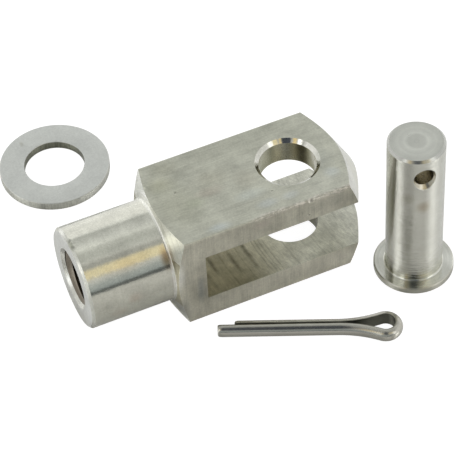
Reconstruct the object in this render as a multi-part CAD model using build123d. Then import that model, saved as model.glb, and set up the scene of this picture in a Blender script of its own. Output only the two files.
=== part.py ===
from build123d import *
import os
from math import radians, sqrt, tan

# A metric clevis rod end, taken apart: the fork, its clevis pin, the pin's washer and its split pin.
# The four pieces lie side by side on one flat surface. Everything is in millimetres and degrees.
# The origin is where the long axis of the fork crosses the axis of its cross bore. +X points out of
# the open end of the fork, +Z goes up along the bore, and the surface lies half a bar side below.

# Fork: square bar, turned to a neck at one end and to a cone at the other
bar_side = 19.9
bar_edge_radius = 0.35
bore_to_front = 12.0
bore_to_neck_end = 40.6
neck_length = 15.2
neck_diameter = 18.2
neck_foot_fillet = 0.45
neck_edge_break = 0.45
rear_cone_angle = 20.0
front_cone_angle = 30.0
front_flat_diameter = 10.6

# Slot, left by a disc cutter that comes in from the open end
slot_width = 10.25
bore_to_slot_end = 20.0
cutter_radius = 63.0

# Threaded hole from the neck into the slot, bored here to the nominal size of its thread
thread_diameter = 10.0
thread_mouth_chamfer = 0.55

# Clevis pin, standing on its head
pin_diameter = 9.94
pin_head_diameter = 14.0
pin_head_thickness = 1.3
pin_head_edge_break = 0.2
pin_foot_fillet = 0.3
pin_end_play = 1.9
pin_end_chamfer = 0.4
pin_hole_diameter = 3.3
pin_hole_to_end = 4.4
pin_hole_countersink = 0.7
pin_hole_direction = -99.0

# Cross bore of the fork, in which the pin turns
pin_bore_clearance = 0.04
bore_chamfer = 0.65

# Punched washer that goes over the pin
washer_clearance = 0.53
washer_diameter = 20.15
washer_thickness = 1.6
washer_roll_width = 0.3
washer_roll_depth = 0.15

# Split pin, half-round wire folded round an eye with its flats facing each other
split_hole_clearance = 0.23
split_leg_gap = 0.2
split_eye_inner_radius = 1.6
split_bend_radius = 25.0
split_straight_length = 20.0
split_leg_difference = 2.9

# Places of the loose pieces on the surface, each measured from the fork
pin_ahead_of_front = 4.86
pin_beside_bar = 4.95
washer_behind_bore = 31.26
washer_beside_bar = 14.6
split_eye_ahead_of_bore = 5.73
split_eye_beside_bar = 16.5
split_turn = -24.9

# Sizes and places that follow from the ones above
half_bar = bar_side / 2
rest_z = -half_bar
neck_radius = neck_diameter / 2
shoulder_x = neck_length - bore_to_neck_end
cutter_axis_x = sqrt(cutter_radius**2 - half_bar**2) - bore_to_slot_end
pin_radius = pin_diameter / 2
bore_radius = pin_radius + pin_bore_clearance
washer_bore_radius = pin_radius + washer_clearance
pin_hole_radius = pin_hole_diameter / 2
pin_hole_z = pin_head_thickness + bar_side + washer_thickness + pin_end_play + pin_hole_radius
pin_length = pin_hole_z + pin_hole_to_end
split_leg_radius = pin_hole_radius - split_hole_clearance - split_leg_gap / 2


def circles(shape, radius, axis, place):
    """The round edges of a shape that have this radius and lie at this place along an axis."""

    def fits(edge):
        at = {Axis.X: edge.arc_center.X, Axis.Z: edge.arc_center.Z}[axis]
        return abs(edge.radius - radius) < 1e-4 and abs(at - place) < 1e-4

    return shape.edges().filter_by(GeomType.CIRCLE).filter_by(fits)


def lathe_form():
    """What the lathe leaves of the bar: the neck, the rear cone and the front cone, as one solid."""
    beyond_corners = bar_side
    rear_rise = tan(radians(rear_cone_angle)) * (beyond_corners - neck_radius)
    front_fall = tan(radians(front_cone_angle)) * (beyond_corners - front_flat_diameter / 2)
    half_section = make_face(
        Polyline(
            (-bore_to_neck_end, 0),
            (-bore_to_neck_end, neck_radius - neck_edge_break),
            (neck_edge_break - bore_to_neck_end, neck_radius),
            (shoulder_x, neck_radius),
            (shoulder_x + rear_rise, beyond_corners),
            (bore_to_front - front_fall, beyond_corners),
            (bore_to_front, front_flat_diameter / 2),
            (bore_to_front, 0),
            close=True,
        )
    )
    foot = half_section.vertices().sort_by_distance((shoulder_x, neck_radius, 0))[0]
    return revolve(fillet(foot, neck_foot_fillet), Axis.X)


def fork():
    """Square bar inside the lathe form, then slotted, cross bored and bored for its thread."""
    section = Plane.YZ.offset(-bore_to_neck_end) * RectangleRounded(bar_side, bar_side, bar_edge_radius)
    bar = extrude(section, bore_to_neck_end + bore_to_front)
    slot = Pos(cutter_axis_x, 0, 0) * Cylinder(cutter_radius, slot_width)
    cross_bore = Cylinder(bore_radius, 2 * bar_side)
    thread_bore = Pos(-bore_to_neck_end, 0, 0) * Rot(0, 90, 0) * Cylinder(
        thread_diameter / 2, bore_to_neck_end, align=(Align.CENTER, Align.CENTER, Align.MIN)
    )
    body = bar & lathe_form()
    body = body - slot - cross_bore - thread_bore
    for face_z in (-half_bar, half_bar):
        body = chamfer(circles(body, bore_radius, Axis.Z, face_z), bore_chamfer)
    mouth = circles(body, thread_diameter / 2, Axis.X, -bore_to_neck_end)
    return chamfer(mouth, thread_mouth_chamfer)


def split_hole_drill():
    """The cross hole of the pin with both its countersinks, as the solid that is cut away, along X."""
    flare_start = pin_radius - pin_hole_countersink
    flare_end = pin_diameter
    flare_radius = pin_hole_radius + flare_end - flare_start
    half_section = make_face(
        Polyline(
            (-flare_end, 0),
            (-flare_end, flare_radius),
            (-flare_start, pin_hole_radius),
            (flare_start, pin_hole_radius),
            (flare_end, flare_radius),
            (flare_end, 0),
            close=True,
        )
    )
    return revolve(half_section, Axis.X)


def clevis_pin():
    """Thin flat head, straight shank with a chamfered end, and a cross hole near that end."""
    head = Cylinder(pin_head_diameter / 2, pin_head_thickness, align=(Align.CENTER, Align.CENTER, Align.MIN))
    shank = Cylinder(pin_radius, pin_length, align=(Align.CENTER, Align.CENTER, Align.MIN))
    pin = head + shank
    pin = chamfer(circles(pin, pin_radius, Axis.Z, pin_length), pin_end_chamfer)
    pin = fillet(circles(pin, pin_radius, Axis.Z, pin_head_thickness), pin_foot_fillet)
    for rim_z in (0, pin_head_thickness):
        pin = chamfer(circles(pin, pin_head_diameter / 2, Axis.Z, rim_z), pin_head_edge_break)
    return pin - Pos(0, 0, pin_hole_z) * Rot(0, 0, pin_hole_direction) * split_hole_drill()


def washer():
    """Flat ring whose two upper edges are drawn down by the punch."""
    outer_radius = washer_diameter / 2
    roll_z = washer_thickness - washer_roll_depth
    half_section = Plane.XZ * make_face(
        Polyline(
            (washer_bore_radius, 0),
            (outer_radius, 0),
            (outer_radius, roll_z),
            (outer_radius - washer_roll_width, washer_thickness),
            (washer_bore_radius + washer_roll_width, washer_thickness),
            (washer_bore_radius, roll_z),
            close=True,
        )
    )
    return revolve(half_section, Axis.Z)


def split_pin_path():
    """The line that the flat of the wire follows: leg, bend, round the eye, bend, and the other leg."""
    reach_out = split_bend_radius + split_leg_gap / 2
    centres = split_bend_radius + split_eye_inner_radius
    throat_x = -sqrt(centres**2 - reach_out**2)
    eye_share = split_eye_inner_radius / centres
    long_tip_x = throat_x - split_straight_length
    half_gap = split_leg_gap / 2
    joint_x, joint_y = throat_x * eye_share, reach_out * eye_share
    near_leg = Line((long_tip_x, -half_gap), (throat_x, -half_gap))
    near_bend = TangentArc((throat_x, -half_gap), (joint_x, -joint_y), tangent=(1, 0))
    eye = ThreePointArc((joint_x, -joint_y), (split_eye_inner_radius, 0), (joint_x, joint_y))
    far_bend = TangentArc((throat_x, half_gap), (joint_x, joint_y), tangent=(1, 0))
    far_leg = Line((long_tip_x + split_leg_difference, half_gap), (throat_x, half_gap))
    return Wire([edge for line in (near_leg, near_bend, eye, far_bend, far_leg) for edge in line.edges()])


def split_pin():
    """Half-round wire swept along its path, round side outwards, lying flat."""
    path = split_pin_path()
    start = path.vertices().sort_by(Axis.X)[0].center()
    half_round = Circle(split_leg_radius) & Pos(-split_leg_radius, 0) * Rectangle(
        2 * split_leg_radius, 2 * split_leg_radius
    )
    section = Plane(origin=start, x_dir=(0, 1, 0), z_dir=(1, 0, 0)) * half_round
    return sweep(section, path=path)


pin_place = Pos(bore_to_front + pin_ahead_of_front, -half_bar - pin_beside_bar, rest_z)
washer_place = Pos(-washer_behind_bore, half_bar + washer_beside_bar + washer_diameter / 2, rest_z)
split_pin_place = Pos(split_eye_ahead_of_bore, -half_bar - split_eye_beside_bar, rest_z + split_leg_radius)
pieces = {
    "fork": fork(),
    "clevis_pin": pin_place * clevis_pin(),
    "washer": washer_place * washer(),
    "split_pin": split_pin_place * Rot(0, 0, split_turn) * split_pin(),
}

os.makedirs("parts", exist_ok=True)
for name, piece in pieces.items():
    export_step(piece, f"parts/{name}.step")
    print(f"{name}: {piece.volume:.1f} cubic mm, {len(piece.solids())} solid")
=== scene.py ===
"""Looks of a clevis rod end, laid out in pieces on a white surface.

The pieces are the fork, its clevis pin, the pin's washer and its split pin. Meshes are in metres and
finishes in millimetres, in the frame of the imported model: the origin is where the long axis of the
fork crosses its cross bore, +X points out of the fork's open end, and +Z goes up along the bore.
"""

import logging
from dataclasses import dataclass
from enum import Enum
from math import asin, cos, pi, radians, sin, sqrt
from typing import Any, Iterable, Optional, Union

import bpy
from mathutils import Matrix, Vector


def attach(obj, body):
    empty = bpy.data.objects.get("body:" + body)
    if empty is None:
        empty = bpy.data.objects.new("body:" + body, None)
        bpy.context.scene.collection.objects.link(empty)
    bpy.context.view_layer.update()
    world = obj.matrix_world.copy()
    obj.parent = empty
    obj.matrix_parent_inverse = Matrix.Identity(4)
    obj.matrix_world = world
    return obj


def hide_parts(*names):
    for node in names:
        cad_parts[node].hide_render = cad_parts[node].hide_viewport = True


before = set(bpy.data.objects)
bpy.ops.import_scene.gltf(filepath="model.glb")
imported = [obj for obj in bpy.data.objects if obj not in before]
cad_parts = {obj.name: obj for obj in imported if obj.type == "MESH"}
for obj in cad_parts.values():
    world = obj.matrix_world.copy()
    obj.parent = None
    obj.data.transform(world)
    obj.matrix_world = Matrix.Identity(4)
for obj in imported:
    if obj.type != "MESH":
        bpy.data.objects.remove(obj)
bpy.context.view_layer.update()
BODY = "root"
MM = 0.001
IN_DEGREES = 180 / pi

# Half the side of the fork's square bar, in millimetres
HALF_BAR = 9.95

# How soft the borders of worked surfaces are, in millimetres and as a part of the surface's normal
CRISP = 0.02
FACING = 0.05

LOG = logging.getLogger("clevis_rod_end")

Colour = tuple[float, float, float]
Point = tuple[float, float, float]

WHITE: Colour = (1.0, 1.0, 1.0)


class Signal:
    """The output of one node, used as a term of an expression."""

    def __init__(self, graph: "Graph", socket: bpy.types.NodeSocket) -> None:
        """Keeps the graph that new nodes go into, and the socket itself."""
        self.graph = graph
        self.socket = socket

    def _math(self, operation: str, *terms: Any) -> "Signal":
        """Adds one Math node over these terms."""
        return self.graph.make("ShaderNodeMath", {"operation": operation}, dict(enumerate(terms)))

    def __add__(self, other: Any) -> "Signal":
        """self + other"""
        return self._math("ADD", self, other)

    def __radd__(self, other: Any) -> "Signal":
        """other + self"""
        return self._math("ADD", other, self)

    def __sub__(self, other: Any) -> "Signal":
        """self - other"""
        return self._math("SUBTRACT", self, other)

    def __rsub__(self, other: Any) -> "Signal":
        """other - self"""
        return self._math("SUBTRACT", other, self)

    def __mul__(self, other: Any) -> "Signal":
        """self * other"""
        return self._math("MULTIPLY", self, other)

    def __rmul__(self, other: Any) -> "Signal":
        """other * self"""
        return self._math("MULTIPLY", other, self)

    def __truediv__(self, other: Any) -> "Signal":
        """self / other"""
        return self._math("DIVIDE", self, other)

    def __neg__(self) -> "Signal":
        """0 - self"""
        return self._math("MULTIPLY", self, -1.0)

    def __abs__(self) -> "Signal":
        """The size of self, without its sign."""
        return self._math("ABSOLUTE", self)

    def root(self) -> "Signal":
        """Square root."""
        return self._math("SQRT", self)

    def hypotenuse(self, other: Any) -> "Signal":
        """The long side of a right triangle whose short sides are self and other."""
        return (self * self + other * other).root()

    def least(self, other: Any) -> "Signal":
        """The smaller of two values."""
        return self._math("MINIMUM", self, other)

    def most(self, other: Any) -> "Signal":
        """The larger of two values."""
        return self._math("MAXIMUM", self, other)

    def sine(self) -> "Signal":
        """Sine of an angle in radians."""
        return self._math("SINE", self)

    def cosine(self) -> "Signal":
        """Cosine of an angle in radians."""
        return self._math("COSINE", self)

    def angle_over(self, across: Any) -> "Signal":
        """The angle whose tangent is self over across, in radians, all the way round."""
        return self._math("ARCTAN2", self, across)

    def near(self, value: float, reach: float) -> "Signal":
        """1 where self is within reach of value, and 0 elsewhere."""
        return self._math("COMPARE", self, value, reach)

    def _step(self, edge: float, soft: float, start: float, end: float) -> "Signal":
        """Goes from one value to another in a soft step.

        Args:
            edge: the middle of the step.
            soft: half the width of the step.
            start: the value below it.
            end: the value above it.

        Returns:
            The stepped value.
        """
        settings = {"interpolation_type": "SMOOTHSTEP"}
        ends = {"From Min": edge - soft, "From Max": edge + soft, "To Min": start, "To Max": end}
        return self.graph.make("ShaderNodeMapRange", settings, {"Value": self, **ends})

    def above(self, edge: float, soft: float) -> "Signal":
        """0 below an edge and 1 above it, with a soft step of twice soft."""
        return self._step(edge, soft, 0.0, 1.0)

    def below(self, edge: float, soft: float) -> "Signal":
        """1 below an edge and 0 above it, with a soft step of twice soft."""
        return self._step(edge, soft, 1.0, 0.0)

    def within(self, low: float, high: float, soft: float) -> "Signal":
        """1 between two edges and 0 outside them."""
        return self.above(low, soft) * self.below(high, soft)


Term = Union[Signal, float]


@dataclass(frozen=True)
class Texture:
    """Soft random values: how close they lie, how much finer detail they have, and how rough it is."""

    scale: float
    detail: float = 2.0
    rough: float = 0.5


class Graph:
    """A node tree, and the one way in which nodes are added to it."""

    # Sockets of the Mix node, which has one set for values and one for colours
    SHARE, FIRST_VALUE, SECOND_VALUE, FIRST_COLOUR, SECOND_COLOUR = 0, 2, 3, 6, 7
    VALUE_OUT, COLOUR_OUT = 0, 2

    def __init__(self, tree: bpy.types.NodeTree) -> None:
        """Keeps the tree that is filled."""
        self.tree = tree

    def make(
        self,
        kind: str,
        settings: Optional[dict[str, Any]] = None,
        inputs: Optional[dict[Union[str, int], Any]] = None,
        out: Union[str, int] = 0,
    ) -> Signal:
        """Adds one node.

        Args:
            kind: the node's type.
            settings: what is set on the node first. "stops" are a colour ramp's (place, colour) pairs.
            inputs: a value or a signal for each socket, by its name or its number.
            out: the name or number of the output that is handed back.

        Returns:
            That output, as a signal.
        """
        node = self.tree.nodes.new(kind)
        for name, value in (settings or {}).items():
            if name == "stops":
                self._set_stops(node.color_ramp, value)
            else:
                setattr(node, name, value)
        for key, value in (inputs or {}).items():
            socket = node.inputs[key]
            if isinstance(value, Signal):
                self.tree.links.new(value.socket, socket)
            elif socket.type == "RGBA":
                socket.default_value = (*value[:3], 1.0)
            else:
                socket.default_value = value
        outputs = node.outputs
        return Signal(self, outputs[out]) if len(outputs) else Signal(self, node.inputs[0])

    @staticmethod
    def _set_stops(ramp: bpy.types.ColorRamp, stops: Iterable[tuple[float, Colour]]) -> None:
        """Gives a colour ramp its stops.

        Args:
            ramp: the colour ramp of a node.
            stops: places in order from 0 to 1, each with its colour.
        """
        while len(ramp.elements) > 1:
            ramp.elements.remove(ramp.elements[-1])
        for index, (place, colour) in enumerate(stops):
            element = ramp.elements[0] if index == 0 else ramp.elements.new(place)
            element.position = place
            element.color = (*colour, 1.0)

    def ramp(self, value: Signal, stops: tuple[tuple[float, Colour], ...]) -> Signal:
        """A colour that runs through stops.

        Args:
            value: what the colour goes by.
            stops: values of any range in rising order, each with its colour.

        Returns:
            The colour.
        """
        first, last = stops[0][0], stops[-1][0]
        shares = [((place - first) / (last - first), colour) for place, colour in stops]
        return self.make("ShaderNodeValToRGB", {"stops": shares}, {0: (value - first) / (last - first)})

    def vector(self, x: Term, y: Term, z: Term) -> Signal:
        """A vector of three values."""
        return self.make("ShaderNodeCombineXYZ", None, {0: x, 1: y, 2: z})

    def split(self, vector: Signal) -> tuple[Signal, Signal, Signal]:
        """Takes a vector apart.

        Args:
            vector: the vector.

        Returns:
            Its three values.
        """
        first = self.make("ShaderNodeSeparateXYZ", None, {0: vector})
        outputs = first.socket.node.outputs
        return first, Signal(self, outputs[1]), Signal(self, outputs[2])

    def vector_math(self, operation: str, *terms: Any, out: str = "Vector") -> Signal:
        """One Vector Math node over these terms."""
        return self.make("ShaderNodeVectorMath", {"operation": operation}, dict(enumerate(terms)), out)

    def tint(self, share: Term, first: Any, second: Any) -> Signal:
        """A colour that goes from the first to the second as the share goes from 0 to 1."""
        return self._mix("MIX", share, first, second)

    def multiply(self, share: Term, colour: Any, factor: Any) -> Signal:
        """A colour that goes to its product with a factor as the share goes from 0 to 1."""
        return self._mix("MULTIPLY", share, colour, factor)

    def _mix(self, way: str, share: Term, first: Any, second: Any) -> Signal:
        """One Mix node over two colours."""
        inputs = {self.SHARE: share, self.FIRST_COLOUR: first, self.SECOND_COLOUR: second}
        return self.make("ShaderNodeMix", {"data_type": "RGBA", "blend_type": way}, inputs, self.COLOUR_OUT)

    def shade(self, colour: Any, level: Term) -> Signal:
        """A colour made lighter or darker by a level."""
        return self.multiply(1.0, colour, self.vector(level, level, level))

    def blend(self, share: Term, first: Term, second: Term) -> Signal:
        """A value that goes from the first to the second as the share goes from 0 to 1."""
        inputs = {self.SHARE: share, self.FIRST_VALUE: first, self.SECOND_VALUE: second}
        return self.make("ShaderNodeMix", {"data_type": "FLOAT"}, inputs, self.VALUE_OUT)

    def noise(self, where: Signal, kind: Texture) -> Signal:
        """Soft random values, about -1 to 1."""
        inputs = {"Vector": where, "Scale": kind.scale, "Detail": kind.detail, "Roughness": kind.rough}
        return (self.make("ShaderNodeTexNoise", None, inputs) - 0.5) * 2.0


def fresh_graph(owner: Union[bpy.types.Material, bpy.types.World]) -> Graph:
    """Empties the node tree of a material or a world.

    Args:
        owner: what the tree belongs to.

    Returns:
        The tree, ready to be filled.
    """
    owner.use_nodes = True
    owner.node_tree.nodes.clear()
    return Graph(owner.node_tree)


def new_object(name: str, data: Union[bpy.types.Mesh, bpy.types.Camera]) -> bpy.types.Object:
    """Puts an object into the scene.

    Args:
        name: its name.
        data: its mesh or camera.

    Returns:
        The object, at the origin.
    """
    made = bpy.data.objects.new(name, data)
    bpy.context.scene.collection.objects.link(made)
    return made


class Cut(Enum):
    """How a surface was worked, which sets the way its fine marks run."""

    DRAWN = "drawn along the bar"
    MILLED_UPRIGHT = "milled with upright marks"
    TURNED_ALONG = "turned about the bar's axis"
    TURNED_UPRIGHT = "turned about the upright axis"
    DISC_CUTTER = "arcs of a disc cutter"
    ROLLED = "rolled or punched, with no clear direction"


@dataclass(frozen=True)
class Zone:
    """The finish of one worked surface.

    tint is its colour, roughness its blur, ridge the height of its tool marks in millimetres, streak
    how far the marks lighten and darken it, cut how it was worked, and fineness how much closer than
    usual its marks lie.
    """

    tint: Colour
    roughness: float
    ridge: float
    streak: float
    cut: Cut
    fineness: float = 1.0


@dataclass(frozen=True)
class StainOrPaintedLight:
    """A soft patch of another tint. Some are real discolouring; others are painted shade, highlights and
    reflections. Centre and reach are in millimetres.
    """

    centre: Point
    reach: Point
    tint: Colour
    strength: float


def on_top(at: tuple[float, float], reach: tuple[float, float], tint: Colour, strength: float) -> StainOrPaintedLight:
    """A tint patch on the fork's upper flat, by its x and y."""
    return StainOrPaintedLight((*at, HALF_BAR), (*reach, 1.0), tint, strength)


def on_side(at: tuple[float, float], reach: tuple[float, float], tint: Colour, strength: float) -> StainOrPaintedLight:
    """A tint patch on the fork's near side, by its x and z."""
    return StainOrPaintedLight((at[0], -HALF_BAR, at[1]), (reach[0], 1.0, reach[1]), tint, strength)


@dataclass(frozen=True)
class Nick:
    """A small dent, or a raised burr where its depth is below zero. All in millimetres."""

    centre: Point
    size: float
    depth: float


@dataclass(frozen=True)
class Score:
    """A deeper arc that the disc cutter left, by its place along the slot, in millimetres.

    strength is how much painted shade darkens the slot along it, and low_y and high_y are where it ends
    across it.
    """

    place: float
    half_width: float
    strength: float
    low_y: float = -12.0
    high_y: float = 12.0


class Place:
    """Where a shaded point lies on its piece, in millimetres, and which way its surface faces."""

    # Radius of the disc cutter's marks, in millimetres
    CUTTER_RADIUS = 63.0

    # How fast random values change along the marks, and all over a surface without marks
    ALONG_TURNING = 0.3
    ALONG_CUTTER_ARC = 2.5
    ALL_OVER = 0.35

    def __init__(self, graph: Graph, axis: Point) -> None:
        """Reads position and facing.

        Args:
            graph: the material's node tree.
            axis: a point on the upright axis of a turned piece, in millimetres.
        """
        self.graph = graph
        spot = graph.make("ShaderNodeTexCoord", out="Object")
        self.spot = graph.vector_math("SCALE", spot, out="Vector")
        self.spot.socket.node.inputs["Scale"].default_value = 1.0 / MM
        self.x, self.y, self.z = graph.split(self.spot)
        facing = graph.make("ShaderNodeNewGeometry", out="True Normal")
        self.nx, self.ny, self.nz = graph.split(facing)
        self.from_long_axis = self.y.hypotenuse(self.z)
        self.from_upright_axis = (self.x - axis[0]).hypotenuse(self.y - axis[1])

    def grain(self, cut: Cut) -> tuple[Term, Term]:
        """Finds the point's place among the tool marks.

        Args:
            cut: how the surface was worked.

        Returns:
            The coordinate across the marks and the one along them, in millimetres.
        """
        if cut is Cut.DRAWN:
            return self.y + self.z, self.x
        if cut is Cut.MILLED_UPRIGHT:
            return self.x, self.z
        if cut is Cut.TURNED_ALONG:
            return self.x + self.from_long_axis, self.y * self.ALONG_TURNING
        if cut is Cut.TURNED_UPRIGHT:
            return self.z + self.from_upright_axis, self.x * self.ALONG_TURNING
        if cut is Cut.DISC_CUTTER:
            rise = (self.CUTTER_RADIUS**2 - self.y * self.y).root()
            return self.x + rise - self.CUTTER_RADIUS, self.y * self.ALONG_CUTTER_ARC
        return self.x * self.ALL_OVER + self.z * self.ALL_OVER, self.y * self.ALL_OVER

    def away_from(self, centre: Point, reach: Point) -> Signal:
        """Measures how far the point is from a centre.

        Args:
            centre: the centre, in millimetres.
            reach: how far a patch round it reaches each way.

        Returns:
            The distance, as a share of the reach.
        """
        offset = self.graph.vector_math("SUBTRACT", self.spot, centre)
        share = self.graph.vector_math("DIVIDE", offset, reach)
        return self.graph.vector_math("LENGTH", share, out="Value")


@dataclass(frozen=True)
class Steel:
    """Bare steel, worked differently from zone to zone, with nicks over it and patches of real discolouring
    and of painted light.

    mottle and speckle are how far broad and fine random values lighten and darken it, wrinkle and
    speck_height how far they raise it, in millimetres, and axis is where a turned piece stands.
    """

    name: str
    base: Zone
    marks_per_mm: float = 4.5
    mottle: float = 0.10
    speckle: float = 0.10
    speck_height: float = 0.001
    wrinkle: float = 0.0
    axis: Point = (0.0, 0.0, 0.0)
    stains_and_painted_light: tuple[StainOrPaintedLight, ...] = ()
    nicks: tuple[Nick, ...] = ()

    # Tool marks: how slowly each kind changes along itself, and what the broad ones are to the fine ones
    fine_along: float = 0.05
    broad_along: float = 0.10
    broad_offset: float = 3.0
    broad_closeness: float = 0.22
    broad_in_tint: float = 0.7
    broad_in_height: float = 0.8
    fine_detail: float = 3.0
    fine_roughness: float = 0.65

    # Random values: their kinds, and what they do to the roughness and to the outlines of tint patches
    mottle_kind: Texture = Texture(0.28, 4.0, 0.65)
    speck_kind: Texture = Texture(2.8, 2.0, 0.7)
    mottle_in_roughness: float = 0.3
    speck_in_roughness: float = 0.2
    mottle_in_stains_and_light: float = 0.25
    speck_in_nicks: float = 0.2

    # Outlines of tint patches and of a nick's hollow and lip, as shares of their size, each with its
    # softness
    stain_and_light_edge: tuple[float, float] = (0.65, 0.5)
    hollow_edge: tuple[float, float] = (0.5, 0.45)
    lip_edges: tuple[float, float, float] = (0.8, 1.2, 0.25)

    # Nicks: the height of the lip beside the depth, and how much a dent darkens or a burr lightens
    lip_share: float = 0.3
    dent_shade: float = 0.35
    burr_shine: float = 0.3

    def zones(self, place: Place) -> list[tuple[Signal, Zone]]:
        """The masks of the zones that differ from the base, each over the ones before it."""
        return []

    def extra_tint(self, place: Place, colour: Signal) -> Signal:
        """Any further colour of one piece alone."""
        return colour

    def material(self) -> bpy.types.Material:
        """Builds the node tree.

        Returns:
            The finished material.
        """
        material = bpy.data.materials.new(self.name)
        graph = fresh_graph(material)
        place = Place(graph, self.axis)
        base = self.base
        colour: Any = base.tint
        rough: Term = base.roughness
        ridge: Term = base.ridge
        streak: Term = base.streak
        across, along = place.grain(base.cut)
        across = across * base.fineness
        for mask, zone in self.zones(place):
            colour = graph.tint(mask, colour, zone.tint)
            rough = graph.blend(mask, rough, zone.roughness)
            ridge = graph.blend(mask, ridge, zone.ridge)
            streak = graph.blend(mask, streak, zone.streak)
            there, down = place.grain(zone.cut)
            across = graph.blend(mask, across, there * zone.fineness)
            along = graph.blend(mask, along, down)
        fine_kind = Texture(self.marks_per_mm, self.fine_detail, self.fine_roughness)
        broad_kind = Texture(self.marks_per_mm * self.broad_closeness)
        fine = graph.noise(graph.vector(across, along * self.fine_along, 0.0), fine_kind)
        broad = graph.noise(graph.vector(across, along * self.broad_along, self.broad_offset), broad_kind)
        mottle = graph.noise(place.spot, self.mottle_kind)
        speck = graph.noise(place.spot, self.speck_kind)
        marks = streak * (fine + broad * self.broad_in_tint)
        level = 1.0 + marks + mottle * self.mottle + speck * self.speckle
        # Real discolouring and painted shade, highlights and reflections are all tinted in the same way
        for stain_or_light in self.stains_and_painted_light:
            away = place.away_from(stain_or_light.centre, stain_or_light.reach) + mottle * self.mottle_in_stains_and_light
            colour = graph.tint(away.below(*self.stain_and_light_edge) * stain_or_light.strength, colour, stain_or_light.tint)
        colour = self.extra_tint(place, graph.shade(colour, level))
        rough = rough * (1.0 + self.mottle_in_roughness * mottle - self.speck_in_roughness * speck)
        height = ridge * (fine + broad * self.broad_in_height)
        height = height + speck * self.speck_height + mottle * self.wrinkle
        for nick in self.nicks:
            away = place.away_from(nick.centre, (nick.size,) * 3) + speck * self.speck_in_nicks
            hollow, lip = away.below(*self.hollow_edge), away.within(*self.lip_edges)
            height = height - hollow * nick.depth + lip * nick.depth * self.lip_share
            change = -self.dent_shade if nick.depth > 0 else self.burr_shine
            colour = graph.shade(colour, 1.0 + hollow * change)
        bump = graph.make("ShaderNodeBump", None, {"Strength": 1.0, "Distance": MM, "Height": height})
        inputs = {"Base Color": colour, "Metallic": 1.0, "Roughness": rough, "Normal": bump}
        surface = graph.make("ShaderNodeBsdfPrincipled", None, inputs)
        graph.make("ShaderNodeOutputMaterial", None, {"Surface": surface})
        return material


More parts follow.
